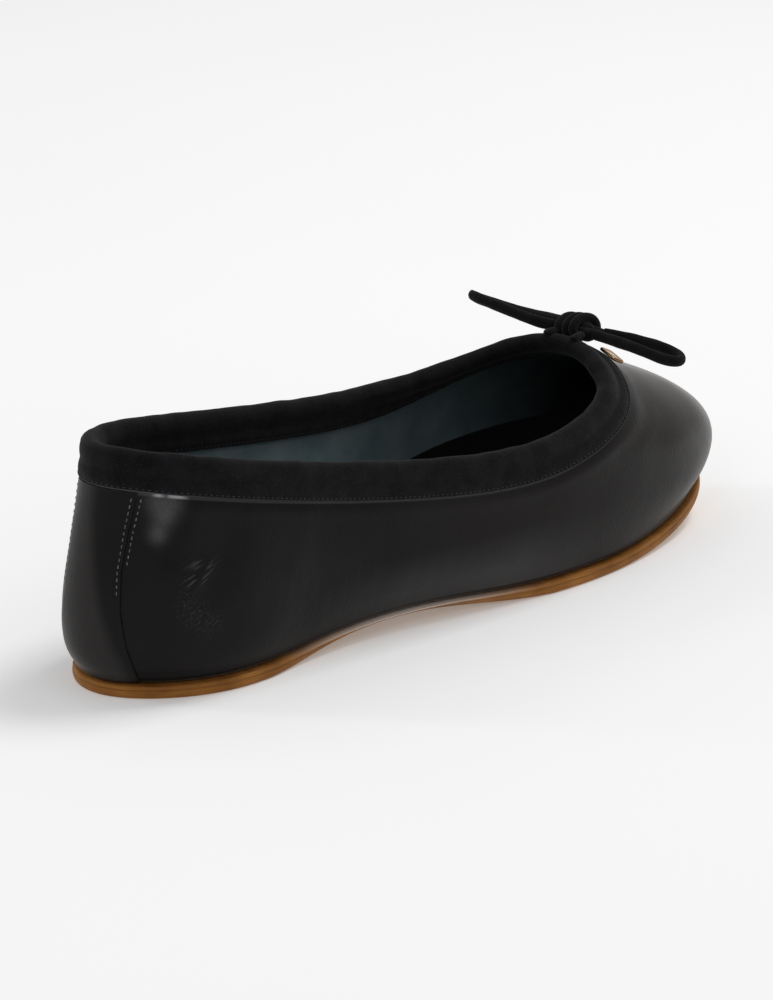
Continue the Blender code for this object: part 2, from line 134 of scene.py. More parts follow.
floor_finish, field, shader = new_finish(
    "pale_floor",
    {
        "Roughness": 0.9,
        "Specular IOR Level": 0.1,
        "Emission Color": (1.0, 1.0, 1.0, 1.0),
        "Emission Strength": FLOOR_GLOW,
    },
)
paper = blend(mottle(field, 0.30, 2.0), (0.905, 0.905, 0.91), (0.925, 0.925, 0.925))
field.feed(shader.inputs["Base Color"], paper)

floor_mesh = bpy.data.meshes.new("floor")
disc = bmesh.new()
bmesh.ops.create_circle(disc, cap_ends=True, segments=FLOOR_EDGES, radius=FLOOR_RADIUS)
disc.to_mesh(floor_mesh)
disc.free()
floor_mesh.materials.append(floor_finish)
floor = bpy.data.objects.new("floor", floor_mesh)
bpy.context.scene.collection.objects.link(floor)

surround = bpy.data.worlds.new("surround")
surround.use_nodes = True
surround.node_tree.nodes["Background"].inputs["Color"].default_value = SURROUND
bpy.context.scene.world = surround
bpy.context.scene.view_settings.view_transform = "Standard"

for lamp in LAMPS:
    light = bpy.data.lights.new(lamp.name, "AREA")
    light.shape = "RECTANGLE"
    light.size = lamp.width
    light.size_y = lamp.height
    light.energy = lamp.power
    holder = bpy.data.objects.new(lamp.name, light)
    holder.location = lamp.place
    way = Vector(lamp.aim) - Vector(lamp.place)
    holder.rotation_euler = way.to_track_quat("-Z", "Y").to_euler()
    bpy.context.scene.collection.objects.link(holder)

camera = bpy.data.objects.new("camera", bpy.data.cameras.new("camera"))
camera.location = CAMERA_PLACE
camera.rotation_euler = [math.radians(turn) for turn in CAMERA_TURN]
camera.data.sensor_width = PICTURE_SENSOR
camera.data.lens = LENS
camera.data.clip_start = 0.05
bpy.context.scene.collection.objects.link(camera)
bpy.context.scene.camera = camera


# Outsole: one thin sheet of tan sole leather with a finer layer on top of it, cut to the last's outline and
# stuck under the lasted upper. Its edge is bare and burnished, and pared away below at the waist.
SOLE_LENGTH = 0.248
BALL_WIDTH = 0.077
COLLAR_HEIGHT = 0.0653
HEEL_CENTRE = 0.031
WAIST_ARCH = 0.0034
TOE_SPRING = 0.0100
ARCH_SPAN = (0.17, 0.60)
SPRING_START = 0.70
SOLE_THICKNESS = 0.0036
WAIST_THINNING = 0.0017
SOLE_LEDGE = 0.0009
WAIST_BEVEL = 0.0036
CLEARANCE = 0.0003
PER_ROW = 20
SMOOTH_ANGLE = math.radians(50)

Row = namedtuple(
    "Row",
    "place along across top_along top_across top_rise low_out low_up high_out high_down",
)

# The last, as lines up the wall from the back of the heel round the outer side to the toe and home. along
# and top_along are shares of SOLE_LENGTH, across, top_across, low_out and high_out of BALL_WIDTH, and
# top_rise, low_up and high_down of COLLAR_HEIGHT.
RING = [
    Row("heel_back", 0.000, 0.000, 0.0150, 0.000, 1.004, 0.108, 0.170, 0.040, 0.42),
    Row("heel_corner_out", 0.036, -0.216, 0.037, -0.172, 0.995, 0.102, 0.170, 0.040, 0.40),
    Row("heel_out", 0.130, -0.342, 0.118, -0.297, 0.930, 0.072, 0.180, 0.034, 0.34),
    Row("waist_rear_out", 0.270, -0.322, 0.259, -0.340, 0.809, 0.052, 0.200, 0.020, 0.28),
    Row("waist_out", 0.430, -0.368, 0.434, -0.399, 0.697, 0.052, 0.180, 0.020, 0.20),
    Row("ball_out", 0.600, -0.458, 0.587, -0.436, 0.668, 0.045, 0.200, 0.040, 0.20),
    Row("toe_out", 0.770, -0.428, 0.706, -0.376, 0.747, 0.060, 0.220, 0.120, 0.20),
    Row("tip_out", 0.930, -0.260, 0.760, -0.219, 0.832, 0.180, 0.255, 0.205, 0.18),
    Row("tip", 1.000, 0.020, 0.781, -0.012, 0.886, 0.195, 0.285, 0.285, 0.18),
    Row("tip_in", 0.934, 0.291, 0.762, 0.185, 0.862, 0.140, 0.265, 0.270, 0.17),
    Row("toe_in", 0.770, 0.472, 0.705, 0.318, 0.784, 0.075, 0.220, 0.205, 0.15),
    Row("ball_in", 0.600, 0.432, 0.587, 0.378, 0.740, 0.044, 0.230, 0.085, 0.20),
    Row("waist_in", 0.430, 0.300, 0.434, 0.346, 0.786, 0.042, 0.200, 0.040, 0.26),
    Row("waist_rear_in", 0.270, 0.285, 0.259, 0.308, 0.880, 0.050, 0.200, 0.025, 0.30),
    Row("heel_in", 0.130, 0.335, 0.120, 0.272, 0.956, 0.072, 0.180, 0.036, 0.34),
    Row("heel_corner_in", 0.036, 0.218, 0.041, 0.152, 0.995, 0.106, 0.170, 0.040, 0.40),
]
STATIONS = len(RING) * PER_ROW

# The edge from the ledge on top to the flat underneath: how far in from the outline, in metres, and how
# high, as a share of the thickness. The dip is the line between the two layers.
SOLE_EDGE = [
    (0.00600, 1.00),
    (0.00075, 1.00),
    (0.00038, 0.97),
    (0.00012, 0.91),
    (0.00000, 0.80),
    (0.00003, 0.71),
    (0.00016, 0.66),
    (0.00003, 0.61),
    (-0.00008, 0.50),
    (-0.00008, 0.36),
    (0.00004, 0.20),
    (0.00026, 0.09),
    (0.00062, 0.02),
    (0.00120, 0.00),
    (0.00600, 0.00),
]
SOLE_ACROSS = 24

# On the sole's edge, as shares of the thickness: the groove's middle and width, the top of what counts as
# the underside, and where the pale ledge starts and is full.
GROOVE_AT = 0.66
GROOVE_WIDE = 0.05
UNDERSIDE_TO = 0.06
LEDGE_PALE = (0.78, 0.92)


def rise(values, start, stop):
    """0 up to start, 1 from stop on, and even between."""
    return np.clip((values - start) / (stop - start), 0, 1)


def swell(gap, reach):
    """1 where there is no gap, fading out over the reach."""
    return np.exp(-((gap / reach) ** 2))


def unit(ways):
    return ways / np.linalg.norm(ways, axis=-1, keepdims=True)


def round_spline(values, steps):
    """A smooth closed curve through values, read steps times between each two of them."""
    knots = np.asarray(values, float)
    count = len(knots)
    system = 4 * np.eye(count) + np.roll(np.eye(count), 1, 0) + np.roll(np.eye(count), -1, 0)
    slopes = np.linalg.solve(system, 3 * (np.roll(knots, -1, 0) - np.roll(knots, 1, 0)))
    share = np.tile(np.arange(steps) / steps, count)[:, None]
    first = np.repeat(np.arange(count), steps)
    second = (first + 1) % count
    return (
        knots[first] * (1 + 2 * share) * (1 - share) ** 2
        + slopes[first] * share * (1 - share) ** 2
        + knots[second] * share**2 * (3 - 2 * share)
        + slopes[second] * share**2 * (share - 1)
    )


def ring_rows():
    """The ring's table as real sizes at every station, keyed by column."""
    sizes = {
        "along": SOLE_LENGTH,
        "across": BALL_WIDTH,
        "top_along": SOLE_LENGTH,
        "top_across": BALL_WIDTH,
        "top_rise": COLLAR_HEIGHT,
        "low_out": BALL_WIDTH,
        "low_up": COLLAR_HEIGHT,
        "high_out": BALL_WIDTH,
        "high_down": COLLAR_HEIGHT,
    }
    table = [[getattr(row, column) * size for column, size in sizes.items()] for row in RING]
    return dict(zip(sizes, round_spline(table, PER_ROW).T))


def arch_share(x):
    """How far along the waist a place is: 0 at its back and 1 at its front."""
    return rise((x + HEEL_CENTRE) / SOLE_LENGTH, *ARCH_SPAN)


def lift(x):
    """How far the sole's underside stands off the floor: flat at heel and ball, up at waist and toe."""
    toe = np.clip(((x + HEEL_CENTRE) / SOLE_LENGTH - SPRING_START) / (1 - SPRING_START), 0, None)
    return WAIST_ARCH * np.sin(math.pi * arch_share(x)) ** 2 + TOE_SPRING * toe**2


def seat(x):
    """The sole's top face, which upper and sock stand on. The sole is thinner at the waist."""
    return lift(x) + SOLE_THICKNESS - WAIST_THINNING * np.sin(math.pi * arch_share(x)) ** 2


def outward(plan):
    """The level direction that points out of a closed plan curve, at each of its points."""
    run = np.roll(plan, -1, 0) - np.roll(plan, 1, 0)
    return unit(np.stack([run[:, 1], -run[:, 0]], axis=1))


def inset(plan, distance):
    return plan - outward(plan) * np.reshape(distance, (-1, 1))


def edge_ring(plan, share):
    """A ring of points at a share of the sole's thickness."""
    low, high = lift(plan[:, 0]), seat(plan[:, 0])
    return np.column_stack([plan, low + (high - low) * share])


def ring_faces(stations, points, closed=True):
    """Faces between loops of points that follow each other, all round or as an open strip with its ends."""
    faces = []
    for i in range(stations if closed else stations - 1):
        here, there = i * points, (i + 1) % stations * points
        for k in range(points):
            following = (k + 1) % points
            faces.append((here + k, here + following, there + following, there + k))
    return faces


def across_foot(ring, dish=0.0):
    """Points that fill a ring from its outer side to its inner side, sunk by dish in the middle."""
    rows = []
    for i in range(1, STATIONS // 2):
        near, far = ring[i], ring[STATIONS - i]
        share = np.linspace(0, 1, SOLE_ACROSS + 1)[1:-1, None]
        row = near * (1 - share) + far * share
        height = (1 - share) * (near[2] - lift(near[0])) + share * (far[2] - lift(far[0]))
        width = np.linalg.norm(near - far)
        sink = dish * min(1.0, width / BALL_WIDTH * 2) * 4 * share * (1 - share)
        row[:, 2] = lift(row[:, 0]) + (height - sink)[:, 0]
        rows.append(row)
    return np.array(rows)


def plate_mesh(rings, dish_top=0.0):
    """Points and faces of a plate: rings from its top outline down to its bottom one, closed across."""
    points = [np.concatenate(rings)]
    faces = ring_faces(len(rings), STATIONS, closed=False)
    for level, dish in ((0, dish_top), (len(rings) - 1, 0.0)):
        start = sum(len(part) for part in points)
        base = level * STATIONS
        filling = across_foot(rings[level], dish)
        points.append(filling.reshape(-1, 3))
        inner = filling.shape[1]
        grid = [
            [base + i + 1, *range(start + i * inner, start + (i + 1) * inner), base + STATIONS - i - 1]
            for i in range(len(filling))
        ]
        for near, far in zip(grid, grid[1:]):
            faces += [(near[k], near[k + 1], far[k + 1], far[k]) for k in range(len(near) - 1)]
        for tip, row in ((base, grid[0]), (base + STATIONS // 2, grid[-1])):
            faces += [(tip, a, b) for a, b in zip(row, row[1:])]
    return np.concatenate(points), faces


def make_piece(name, points, faces, finish, slot):
    """A smooth-shaded piece that rides on the shoe in the finish given. The slot is not used."""
    mesh = bpy.data.meshes.new(name)
    mesh.from_pydata([tuple(point) for point in points], [], faces)
    shape = bmesh.new()
    shape.from_mesh(mesh)
    bmesh.ops.recalc_face_normals(shape, faces=shape.faces)
    shape.to_mesh(mesh)
    shape.free()
    mesh.shade_smooth()
    mesh.set_sharp_from_angle(angle=SMOOTH_ANGLE)
    mesh.materials.append(finish)
    piece = bpy.data.objects.new(name, mesh)
    bpy.context.scene.collection.objects.link(piece)
    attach(piece, "root")
    return piece


def weigh_points(piece, name, weights):
    """Keeps one number for each point of a piece, for its finish to read."""
    layer = piece.data.attributes.new(name, "FLOAT", "POINT")
    layer.data.foreach_set("value", np.asarray(weights, np.float32))


def weight(field, name):
    return field.node("ShaderNodeAttribute", {"attribute_name": name}, {}, "Fac")


def step_up(field, low, high):
    """0 where the field is under low, 1 where it is over high, and even between."""
    return field.node("ShaderNodeMapRange", {}, {"Value": field, "From Min": low, "From Max": high})


def lay_over(colour, *layers):
    """A colour with others laid over it in turn, each as far as its own field says."""
    for field, tone in layers:
        colour = blend(field, colour, tone)
    return colour


def relief(field, depth):
    """A bump whose heights are the field times depth, in metres."""
    return field.node("ShaderNodeBump", {}, {"Height": field, "Distance": depth, "Strength": 1.0})


sole_finish, field, shader = new_finish(
    "tan_sole_leather",
    {"Specular IOR Level": 0.12, "Specular Tint": (1.0, 0.80, 0.58, 1.0), "Coat Roughness": 0.35},
)
fibre = mottle(field, 0.0022, 5.0, (3.0, 3.0, 0.06))
patches = mottle(field, 0.016, 3.0)
pores = mottle(field, 0.0004, 2.0)
groove = weight(field, "groove")
under = weight(field, "under")
waist = weight(field, "waist")
ledge = weight(field, "ledge")
under_tan = blend(patches, (0.50, 0.30, 0.150), (0.60, 0.39, 0.215))
sole_tan = lay_over(
    (0.21, 0.079, 0.016),
    (step_up(patches, 0.30, 0.70), (0.42, 0.180, 0.042)),
    (step_up(fibre, 0.42, 0.72) * 0.55, (0.10, 0.040, 0.011)),
    (waist * 0.55, (0.25, 0.140, 0.078)),
    (waist * ledge, (0.74, 0.62, 0.54)),
    (under, under_tan),
    (groove * 0.34, (0.090, 0.034, 0.011)),
)
field.feed(shader.inputs["Base Color"], sole_tan)
field.feed(shader.inputs["Roughness"], 0.42 + 0.20 * fibre + 0.18 * under)
field.feed(shader.inputs["Coat Weight"], 0.05 * (1 - under))
field.feed(shader.inputs["Normal"], relief(fibre * 0.6 + pores * 0.4, 0.00012))

rows = ring_rows()
outline = np.stack([rows["along"] - HEEL_CENTRE, rows["across"]], axis=1)
pared = WAIST_BEVEL * np.sin(math.pi * arch_share(outline[:, 0]))
sole_rings = [
    edge_ring(inset(outline, distance + pared * (1 - share)), share) for distance, share in SOLE_EDGE
]
points, faces = plate_mesh(sole_rings)
outsole = make_piece("sole", points, faces, sole_finish, "tan_leather")
shares = (points[:, 2] - lift(points[:, 0])) / (seat(points[:, 0]) - lift(points[:, 0]))
waist_middle = np.sin(math.pi * arch_share(points[:, 0])) ** 2
weigh_points(outsole, "groove", swell(shares - GROOVE_AT, GROOVE_WIDE) * (1 - waist_middle))
weigh_points(outsole, "under", 1 - rise(shares, 0, UNDERSIDE_TO))
weigh_points(outsole, "waist", waist_middle)
weigh_points(outsole, "ledge", rise(shares, *LEDGE_PALE))
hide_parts("outsole")


# Sock: a thin sheet of black lining leather stuck over the insole board, right up to the wall. It dips a
# little along the middle, where the foot presses it into the board, and its cut edge is rolled by the wall.
WALL = 0.0018
FEATHER_RADIUS = 0.0028
LASTING_MARGIN = 0.0080
MARGIN_GAP = 0.0009
INSOLE_THICKNESS = 0.0024
SOCK_ROLL = 0.0007
SOCK_DISH = 0.0006

sock_finish, field, shader = new_finish("black_sock_leather", {"Specular IOR Level": 0.35})
worn = mottle(field, 0.020, 3.0)
grain = mottle(field, 0.0007, 3.0)
sock_black = lay_over(
    (0.0075, 0.0075, 0.0090),
    (worn, (0.0125, 0.0125, 0.0145)),
    (step_up(grain, 0.5, 0.8) * 0.4, (0.020, 0.020, 0.022)),
)
field.feed(shader.inputs["Base Color"], sock_black)
field.feed(shader.inputs["Roughness"], 0.55 + 0.20 * grain)
field.feed(shader.inputs["Normal"], relief(grain, 0.00010))

foot_plan = inset(outline, SOLE_LEDGE)
board_low = WALL + 2 * CLEARANCE
board_high = board_low + INSOLE_THICKNESS
by_wall = WALL + CLEARANCE
over_turn = FEATHER_RADIUS + CLEARANCE
inside_margin = LASTING_MARGIN + MARGIN_GAP
sock_edge = [
    (by_wall + SOCK_ROLL * 3, board_high),
    (by_wall + SOCK_ROLL, board_high),
    (by_wall + SOCK_ROLL * 0.3, board_high - SOCK_ROLL * 0.3),
    (by_wall, board_high - SOCK_ROLL),
    (by_wall, board_low + FEATHER_RADIUS - WALL - CLEARANCE),
    (over_turn, board_low),
    (inside_margin, board_low),
    (inside_margin, CLEARANCE),
]
sock_rings = []
for distance, height in sock_edge:
    plan = inset(foot_plan, distance)
    sock_rings.append(np.column_stack([plan, seat(plan[:, 0]) + height]))
points, faces = plate_mesh(sock_rings, SOCK_DISH)
sock = make_piece("sock", points, faces, sock_finish, "black_sock")
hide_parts("insole")


# Upper: one piece of smooth black calf, cut whole round the toe and joined at the back of the heel. It is
# pulled over the last, turned in under the foot and stuck down, which leaves a few soft creases in it.
BINDING_WIDTH = 0.0083
CALF_THICKNESS = 0.0011
CURVE_SAMPLES = 160
LOW_STEPS = 40
HIGH_STEPS = 8
LOW_CROWDING = 1.15
CORNER_TURNS = (0.0, 22.5, 45.0, 67.5)
TUCK_DEPTH = 0.00030
TUCK_REACH = 0.0016
PULL_HEIGHT = 0.00018
PULL_PLACE = 2.2 * TUCK_REACH
WAVE_HEIGHT = 0.00024
WAVE_SIZE = 0.017
SHAPED_FROM = (0.0018, 0.0078)
EDGE_HIGHLIGHT_WIDTH = 0.0012
MIDDLE_LEVEL = 30
PORES_PER_METRE = 1500.0
SCRATCH_LONG = 85.0
SCRATCH_FINE = 640.0

# Where the calf is painted paler for the light it catches (toward the toe, at the heel, along the side, on
# the vamp's top) and where its coat is shinier, along and up the shoe, in metres: where each starts and is
# full
TOE_LIGHT_RISES = (0.0, 0.14)
HEEL_LIGHT_FADES = (-0.010, 0.034)
SIDE_SHEEN_STARTS = (0.056, 0.092)
SIDE_SHEEN_ENDS = (0.120, 0.160)
POLISH_STARTS = (0.028, 0.064)
POLISH_ENDS = (0.100, 0.136)
POLISH_HEIGHT = (0.0110, 0.0230)
VAMP_SHEEN_STARTS = (0.12, 0.20)
VAMP_SHEEN_HEIGHT = (0.0200, 0.0493)

# Creases: from one place on the wall to another, as rows round the ring and shares of the way up
# from the sole to the collar, then half its width and its height in millimetres. Troughs have minus heights.
Crease = namedtuple("Crease", "row up end_row end_up width height")
CREASES = [
    Crease(1.05, 0.84, 0.98, 0.56, 1.7, 0.42),
    Crease(1.32, 0.84, 1.18, 0.58, 2.4, -0.48),
    Crease(1.62, 0.83, 1.42, 0.64, 2.4, 0.34),
    Crease(1.05, 0.79, 1.30, 0.76, 0.9, 0.20),
    Crease(1.04, 0.72, 1.26, 0.70, 0.9, -0.18),
    Crease(1.90, 0.70, 1.62, 0.42, 6.0, -0.70),
    Crease(1.62, 0.53, 1.34, 0.36, 1.8, 0.32),
    Crease(1.46, 0.30, 1.34, 0.14, 3.6, 0.32),
    Crease(2.30, 0.34, 3.40, 0.28, 6.5, -0.55),
    Crease(2.70, 0.72, 2.60, 0.46, 4.5, 0.26),
    Crease(3.50, 0.66, 4.40, 0.60, 6.0, -0.30),
    Crease(3.40, 0.30, 4.60, 0.24, 4.0, 0.22),
    Crease(5.30, 0.50, 5.80, 0.58, 5.0, -0.22),
    Crease(6.05, 0.72, 6.70, 0.78, 0.8, 0.13),
    Crease(6.10, 0.66, 6.85, 0.73, 0.9, -0.12),
    Crease(6.20, 0.60, 6.95, 0.67, 1.0, 0.11),
    Crease(9.30, 0.78, 9.95, 0.72, 0.8, 0.13),
    Crease(9.20, 0.72, 9.90, 0.65, 1.0, -0.12),
    Crease(10.60, 0.60, 10.20, 0.48, 5.0, -0.24),
    Crease(12.30, 0.30, 13.60, 0.36, 6.5, -0.60),
    Crease(13.20, 0.74, 13.40, 0.48, 4.5, 0.26),
    Crease(14.10, 0.72, 14.40, 0.40, 6.0, -0.70),
    Crease(14.52, 0.56, 14.78, 0.36, 1.8, 0.32),
    Crease(14.70, 0.84, 14.82, 0.58, 2.4, -0.46),
    Crease(14.96, 0.84, 15.03, 0.58, 1.7, 0.40),
]
CREASE_SAMPLES = 9
CREASE_FREE_ROWS = (0.80, 1.02)

# Where painted highlights lie on the calf's creases, where its grain carries a speckled painted sheen, and
# where it is
# lightly scratched: row, share of the way up, radius in millimetres. A painted gleam runs along the
# binding's lower edge, from row to row.
CREASE_SHEENS = [(1.10, 0.83, 4.4), (1.26, 0.83, 4.4), (1.16, 0.76, 4.0), (1.07, 0.68, 3.4), (14.90, 0.76, 4.2)]
SPECKLED_SHEENS = [(1.40, 0.30, 5.5), (1.56, 0.26, 5.0), (1.32, 0.38, 3.0), (14.55, 0.30, 5.0)]
SCRATCHES = [(1.46, 0.48, 4.0), (1.58, 0.53, 3.8), (14.45, 0.48, 4.0)]
GLEAMS = [(1.04, 1.16), (1.20, 1.46), (14.82, 14.96)]


def run_along(points):
    """The distance along a line of points, at each of them."""
    return np.concatenate([[0], np.cumsum(np.linalg.norm(np.diff(points, axis=0), axis=1))])


def read_along(values, run, marks):
    return np.stack([np.interp(marks, run, values[:, axis]) for axis in range(3)], axis=-1)


def wall_lines():
    """The wall's outer face: for each station, points from the margin's inner edge up to the collar."""
    collar = np.stack([rows["top_along"] - HEEL_CENTRE, rows["top_across"]], axis=1)
    collar_out = outward(collar)
    foot_out = outward(foot_plan)
    t = np.linspace(0, 1, CURVE_SAMPLES)[:, None]
    lines = []
    for k in range(STATIONS):
        out = foot_out[k]

        def foot_point(beyond, up):
            x, y = foot_plan[k] + out * beyond
            return np.array([x, y, seat(x) + CLEARANCE + up])

        corner = [
            foot_point(FEATHER_RADIUS * (math.sin(turn) - 1), FEATHER_RADIUS * (1 - math.cos(turn)))
            for turn in np.radians(CORNER_TURNS)
        ]
        start = foot_point(0.0, FEATHER_RADIUS)
        end = np.array([*collar[k], rows["top_rise"][k]])
        low = start + np.array([*(out * rows["low_out"][k]), rows["low_up"][k]])
        high = end + np.array([*(collar_out[k] * rows["high_out"][k]), -rows["high_down"][k]])
        dense = (1 - t) ** 3 * start + 3 * (1 - t) ** 2 * t * low + 3 * (1 - t) * t**2 * high + t**3 * end
        run = run_along(dense)
        below = run[-1] - BINDING_WIDTH
        low_marks = np.linspace(0, 1, LOW_STEPS + 1)[:-1] ** LOW_CROWDING * below
        marks = np.concatenate([low_marks, np.linspace(below, run[-1], HIGH_STEPS + 1)])
        lines.append([foot_point(-LASTING_MARGIN, 0.0), *corner, *read_along(dense, run, marks)])
    return np.array(lines)


def face_normals(lines):
    """The direction out of the wall at each point of its outer face."""
    round_ring = np.roll(lines, -1, 0) - np.roll(lines, 1, 0)
    return unit(np.cross(round_ring, np.gradient(lines, axis=1)))


def between_stations(values, row):
    """The wall's points, or its directions, along the line at a row."""
    station = row * PER_ROW
    first = math.floor(station)
    share = station - first
    return values[first % STATIONS] * (1 - share) + values[(first + 1) % STATIONS] * share


def wall_place(row, up):
    """The point on the wall at a row and a share of the way up from the feather edge to the collar."""
    line = between_stations(wall, row)[len(CORNER_TURNS) + 1 :]
    run = run_along(line)
    return read_along(line, run, np.array([up * run[-1]]))[0]


def crease_heights(points):
    """How far the creases push each point of the wall in or out, in metres: less at their ends."""
    heights = np.zeros(points.shape[:2])
    fade = 0.25 + 0.75 * np.sin(math.pi * np.linspace(0.15, 0.85, CREASE_SAMPLES))
    for crease in CREASES:
        along = np.linspace(crease.row, crease.end_row, CREASE_SAMPLES)
        upward = np.linspace(crease.up, crease.end_up, CREASE_SAMPLES)
        most = np.zeros(points.shape[:2])
        for row, up, strength in zip(along, upward, fade):
            gap = np.linalg.norm(points - wall_place(row, up), axis=2)
            most = np.maximum(most, strength * swell(gap, crease.width / 1000))
        heights += most * crease.height / 1000
    return heights


def waves(points, size, seed):
    """Slow unevenness between -1 and 1 over points, size metres from crest to crest."""
    flat = points.reshape(-1, 3) / size + seed
    return np.array([noise.noise(Vector(place)) for place in flat]).reshape(points.shape[:2])


def spots(points, places):
    """Nearly 1 in the middle of each spot on the wall, fading out at its radius."""
    bare = np.ones(points.shape[:2])
    for row, up, radius in places:
        gap = np.linalg.norm(points - wall_place(row, up), axis=2) * 1000
        bare *= 1 - 0.85 * swell(gap, radius / 1.4)
    return 1 - bare


def make_ring(name, loops, finish, slot):
    """A piece of closed loops that follow each other all round the shoe."""
    return make_piece(name, loops.reshape(-1, 3), ring_faces(*loops.shape[:2]), finish, slot)


def both_faces(outer):
    """Numbers for the points of a wall's outer face, repeated down its inner face."""
    return np.concatenate([outer, outer[:, ::-1]], axis=1).ravel()


wall = wall_lines()
wall_out = face_normals(wall)
levels_up = np.array([run_along(line) for line in wall])
to_collar = levels_up[:, -1:] - levels_up
station_rows = np.arange(STATIONS) / PER_ROW
from_back = np.minimum(station_rows, len(RING) - station_rows)
beside_strip = rise(from_back, *CREASE_FREE_ROWS)[:, None]
above_foot = rise(levels_up - LASTING_MARGIN, *SHAPED_FROM)
under_edge = to_collar - BINDING_WIDTH
tuck = -TUCK_DEPTH * swell(np.clip(under_edge, 0, None), TUCK_REACH)
pull = PULL_HEIGHT * swell(under_edge - PULL_PLACE, TUCK_REACH)
shaping = crease_heights(wall) + WAVE_HEIGHT * waves(wall, WAVE_SIZE, 3.7)
outside = wall + wall_out * ((shaping * above_foot + tuck + pull) * beside_strip)[:, :, None]
calf_back = wall - wall_out * CALF_THICKNESS

calf_finish, field, shader = new_finish(
    "black_calf",
    {
        "Specular IOR Level": 0.085,
        "Specular Tint": (1.0, 0.96, 0.92, 1.0),
        "Coat Roughness": 0.22,
        "Sheen Weight": 0.21,
        "Sheen Roughness": 0.26,
        "Sheen Tint": (1.0, 0.90, 0.80, 1.0),
    },
)
broad = mottle(field, 0.030, 3.0)
cloud = mottle(field, 0.0065, 4.0)
pebble = mottle(field, 0.0011, 2.0)
pore = field.node(
    "ShaderNodeTexVoronoi", {"feature": "F1"}, {"Vector": own_place(field), "Scale": PORES_PER_METRE}
)
rub = weight(field, "rub")
scratch = weight(field, "scratch")
specks = weight(field, "specks")
gleam = weight(field, "gleam")
by_binding = weight(field, "by_binding")
burnish = weight(field, "burnish")
round_wall = weight(field, "round_wall")
up_wall = weight(field, "up_wall")
along = own_place(field, "X")
height = own_place(field, "Z")
# Painted light: the calf is painted paler toward the toe, at the heel and along the side, and on the vamp's
# top a painted reflection goes with a shinier coat
painted_toe_light = step_up(along, *TOE_LIGHT_RISES)
painted_heel_light = 1 - step_up(along, *HEEL_LIGHT_FADES)
painted_side_sheen = step_up(along, *SIDE_SHEEN_STARTS) * (1 - step_up(along, *SIDE_SHEEN_ENDS))
vamp_coat_and_painted_sheen = step_up(along, *VAMP_SHEEN_STARTS) * step_up(height, *VAMP_SHEEN_HEIGHT)
low_down = 1 - step_up(height, *POLISH_HEIGHT)
polish = low_down * step_up(along, *POLISH_STARTS) * (1 - step_up(along, *POLISH_ENDS))
slant = field.node(
    "ShaderNodeCombineXYZ",
    {},
    {0: (round_wall * 2 + up_wall) * SCRATCH_LONG, 1: (up_wall * 2 - round_wall) * SCRATCH_FINE},
)
streak = step_up(field.node("ShaderNodeTexNoise", {}, {"Vector": slant, "Scale": 1.0}), 0.53, 0.66)
fine = mottle(field, 0.0005, 3.0)
# Speckled grain whose pale colour is a painted sheen; it also roughens the bump
speckled_sheen = step_up(fine, 0.50, 0.68) * specks
scrape = streak * scratch
# A painted highlight along the calf just under the binding's lower edge, brighter at the gleams
binding_edge_highlight = step_up(by_binding, 0.22, 0.60)
# The calf's colour: black with its own cloudy tones and scratches, plus painted light: paler toward the toe,
# at the heel and along the side, a painted reflection on the vamp's top, a painted highlight band on the
# back strip, painted highlights on the creases by the heel, a speckled painted sheen and a painted highlight
# under the binding
calf_black_and_painted_light = lay_over(
    (0.0019, 0.0019, 0.0024),
    (painted_toe_light, (0.0086, 0.0076, 0.0074)),
    (painted_heel_light * 0.8, (0.0092, 0.0088, 0.0090)),
    (painted_side_sheen * 0.7, (0.0168, 0.0150, 0.0152)),
    (vamp_coat_and_painted_sheen, (0.0190, 0.0164, 0.0146)),
    (step_up(broad, 0.30, 0.70) * 0.4, (0.0046, 0.0042, 0.0041)),
    (step_up(cloud, 0.45, 0.75) * 0.25, (0.010, 0.0092, 0.0088)),
    (burnish * (0.75 + 0.5 * cloud), (0.024, 0.0225, 0.0222)),
    (rub * (0.45 + 0.9 * fine), (0.076, 0.076, 0.080)),
    (speckled_sheen * 0.25 + scrape * 0.58, (0.120, 0.122, 0.128)),
    (binding_edge_highlight * (0.10 + gleam), (0.40, 0.40, 0.40)),
)
field.feed(shader.inputs["Base Color"], calf_black_and_painted_light)
field.feed(shader.inputs["Roughness"], 0.27 + 0.10 * cloud + 0.06 * pebble + 0.10 * scrape)
field.feed(shader.inputs["Coat Weight"], 0.03 * broad + 0.62 * vamp_coat_and_painted_sheen + 0.42 * polish)
skin = pore * 0.25 + pebble * 0.5 + cloud * 0.9 + speckled_sheen * 1.2 + scrape * 1.0
field.feed(shader.inputs["Normal"], relief(skin, 0.00010))

calf_loops = np.concatenate([outside, calf_back[:, ::-1]], axis=1)
upper = make_ring("calf_upper", calf_loops, calf_finish, "black_calf")
for name, places in (("rub", CREASE_SHEENS), ("specks", SPECKLED_SHEENS), ("scratch", SCRATCHES)):
    weigh_points(upper, name, spots(calf_loops, places).ravel())
# Weights for the painted gleam and the painted highlight line under the binding
gleaming = np.max([np.sin(math.pi * rise(station_rows, *span)) ** 0.5 for span in GLEAMS], axis=0)
weigh_points(upper, "gleam", np.repeat(gleaming, calf_loops.shape[1]))
weigh_points(upper, "by_binding", both_faces(1 - rise(np.abs(under_edge), 0, EDGE_HIGHLIGHT_WIDTH)))
weigh_points(upper, "round_wall", np.repeat(run_along(wall[:, MIDDLE_LEVEL]), calf_loops.shape[1]))
weigh_points(upper, "up_wall", both_faces(levels_up))
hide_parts("upper")


